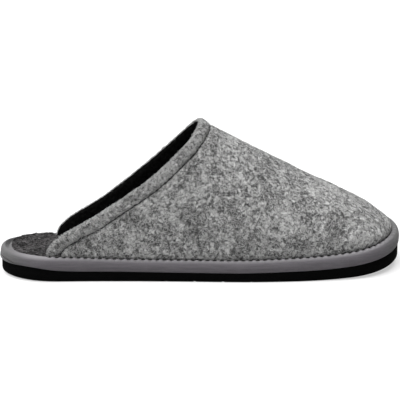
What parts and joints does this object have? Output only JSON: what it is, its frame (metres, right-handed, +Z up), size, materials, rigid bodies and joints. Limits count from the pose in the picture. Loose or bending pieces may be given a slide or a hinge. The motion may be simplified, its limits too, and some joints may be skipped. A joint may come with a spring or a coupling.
{
  "type": "felt slipper",
  "caption": "Backless wool felt house slipper for the right foot, with a folded collar band, felt footbed, wrapped platform and grooved foam outsole.",
  "frame": {"origin": "on the floor under the middle of the shoe's bounding box", "axes": "+X towards the toe, +Y towards the medial side (the wearer's left), +Z up"},
  "size_m": [0.29, 0.106, 0.1075],
  "materials": {
    "grey_felt": "matte flecked wool felt",
    "band_cloth": "matte, finely napped",
    "black_foam": "matte moulded foam",
    "charcoal_felt": "matte felt"
  },
  "bodies": {
    "root": {"outsole": "black_foam", "covered_midsole": "band_cloth", "insole": "charcoal_felt", "upper": "grey_felt", "collar_band": "grey_felt"}
  },
  "joints": []
}
